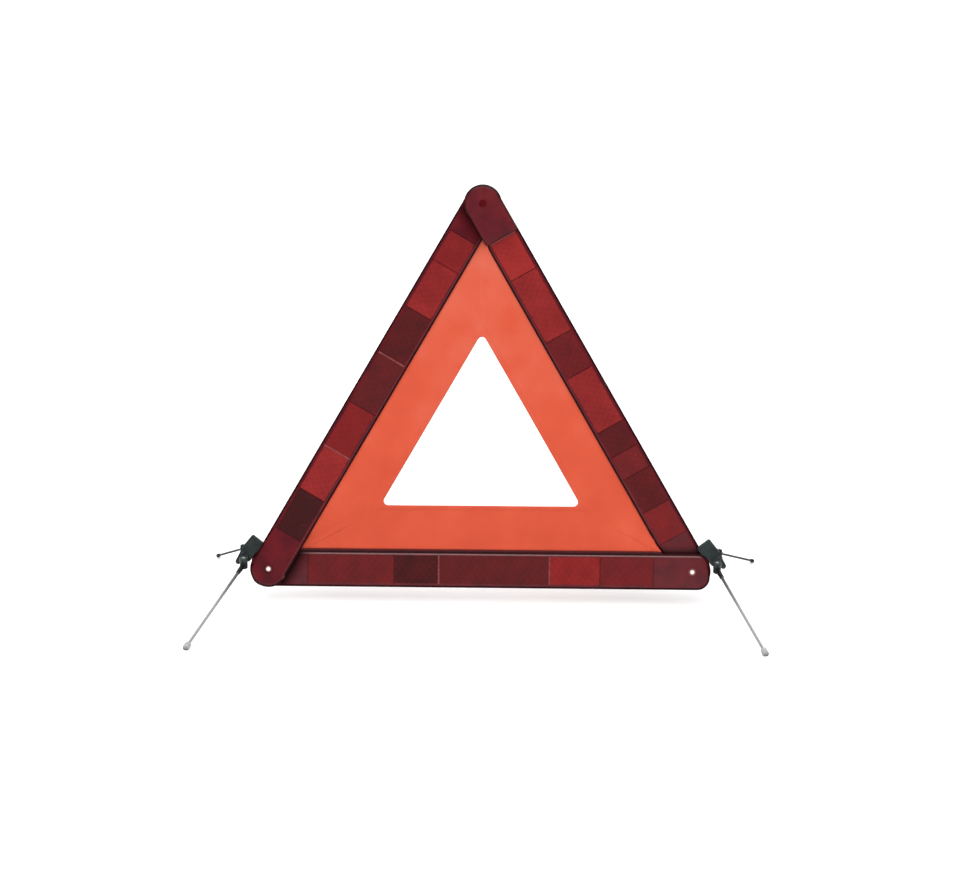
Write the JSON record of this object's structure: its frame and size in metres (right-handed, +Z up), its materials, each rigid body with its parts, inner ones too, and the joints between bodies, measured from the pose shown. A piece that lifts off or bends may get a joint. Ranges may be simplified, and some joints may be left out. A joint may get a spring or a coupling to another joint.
{
  "type": "warning triangle",
  "caption": "Folding roadside warning triangle: red reflex arms round a fluorescent orange sheet with an open centre, on swing-out wire legs.",
  "frame": {"origin": "on the ground, under the middle of the base arm and midway between the front and rear feet", "axes": "+Z up; the sign's reflecting front faces -Y; +X along the base arm towards the right-hand corner seen from the front"},
  "size_m": [0.5806, 0.3784, 0.4318],
  "materials": {
    "reflex_lens": "clear dark red moulded acrylic with reflex prisms behind",
    "arm_shell": "dark red moulded housing",
    "apex_cap": "plain dark red moulded cap",
    "stud_plastic": "very dark red moulded stud",
    "fluorescent_fabric": "fluorescent orange-red coated woven sheet",
    "galvanised_steel": "zinc-plated steel",
    "rivet_metal": "bright plated rivet",
    "bracket_plastic": "green-black moulded nylon",
    "hub_plastic": "black moulded nylon",
    "leg_wire": "drawn, plated spring wire",
    "dark_leg_wire": "black-coated spring wire",
    "dark_foot_cap": "black soft vinyl",
    "foot_cap": "pale translucent soft vinyl"
  },
  "bodies": {
    "base_frame": {"base_lens": "reflex_lens", "base_shell": "arm_shell", "base_stiffener": "galvanised_steel", "panel_rail": "arm_shell", "warning_panel": "fluorescent_fabric", "left_corner_rivet": "rivet_metal", "right_corner_rivet": "rivet_metal", "left_leg_bracket": "bracket_plastic", "right_leg_bracket": "bracket_plastic", "left_front_leg_pin": "galvanised_steel", "left_rear_leg_pin": "galvanised_steel", "right_front_leg_pin": "galvanised_steel", "right_rear_leg_pin": "galvanised_steel"},
    "left_arm": {"left_arm_lens": "reflex_lens", "left_arm_shell": "arm_shell", "apex_cap": "apex_cap", "apex_stud": "stud_plastic"},
    "right_arm": {"right_arm_lens": "reflex_lens", "right_arm_shell": "arm_shell", "apex_socket": "galvanised_steel"},
    "left_front_leg": {"left_front_leg_hub": "hub_plastic", "left_front_leg_wire": "leg_wire", "left_front_leg_foot": "foot_cap"},
    "left_rear_leg": {"left_rear_leg_hub": "hub_plastic", "left_rear_leg_wire": "dark_leg_wire", "left_rear_leg_foot": "dark_foot_cap"},
    "right_front_leg": {"right_front_leg_hub": "hub_plastic", "right_front_leg_wire": "leg_wire", "right_front_leg_foot": "foot_cap"},
    "right_rear_leg": {"right_rear_leg_hub": "hub_plastic", "right_rear_leg_wire": "dark_leg_wire", "right_rear_leg_foot": "dark_foot_cap"}
  },
  "joints": [
    {"name": "left_arm_fold", "type": "hinge", "parent": "base_frame", "child": "left_arm", "pos_m": [-0.21796, -0.00328, 0.0374], "axis": [0, 0.9915, -0.1298], "range_deg": [0, 60]},
    {"name": "right_arm_fold", "type": "hinge", "parent": "base_frame", "child": "right_arm", "pos_m": [0.21796, 0.00328, 0.0366], "axis": [0, -0.9935, 0.114], "range_deg": [0, 60]},
    {"name": "left_front_leg_swing", "type": "hinge", "parent": "base_frame", "child": "left_front_leg", "pos_m": [-0.24296, -0.01378, 0.04373], "axis": [0, -0.2294, 0.9733], "range_deg": [0, 103.9]},
    {"name": "left_rear_leg_swing", "type": "hinge", "parent": "base_frame", "child": "left_rear_leg", "pos_m": [-0.24496, 0.01659, 0.0531], "axis": [0, -0.2893, -0.9572], "range_deg": [0, 103.3]},
    {"name": "right_front_leg_swing", "type": "hinge", "parent": "base_frame", "child": "right_front_leg", "pos_m": [0.24296, -0.01378, 0.04373], "axis": [0, 0.2294, -0.9733], "range_deg": [0, 103.9]},
    {"name": "right_rear_leg_swing", "type": "hinge", "parent": "base_frame", "child": "right_rear_leg", "pos_m": [0.24496, 0.01659, 0.0531], "axis": [0, 0.2893, 0.9572], "range_deg": [0, 103.3]}
  ],
  "couplings": [
    {"joint": "right_arm_fold", "follows": "left_arm_fold", "ratio": 1}
  ]
}
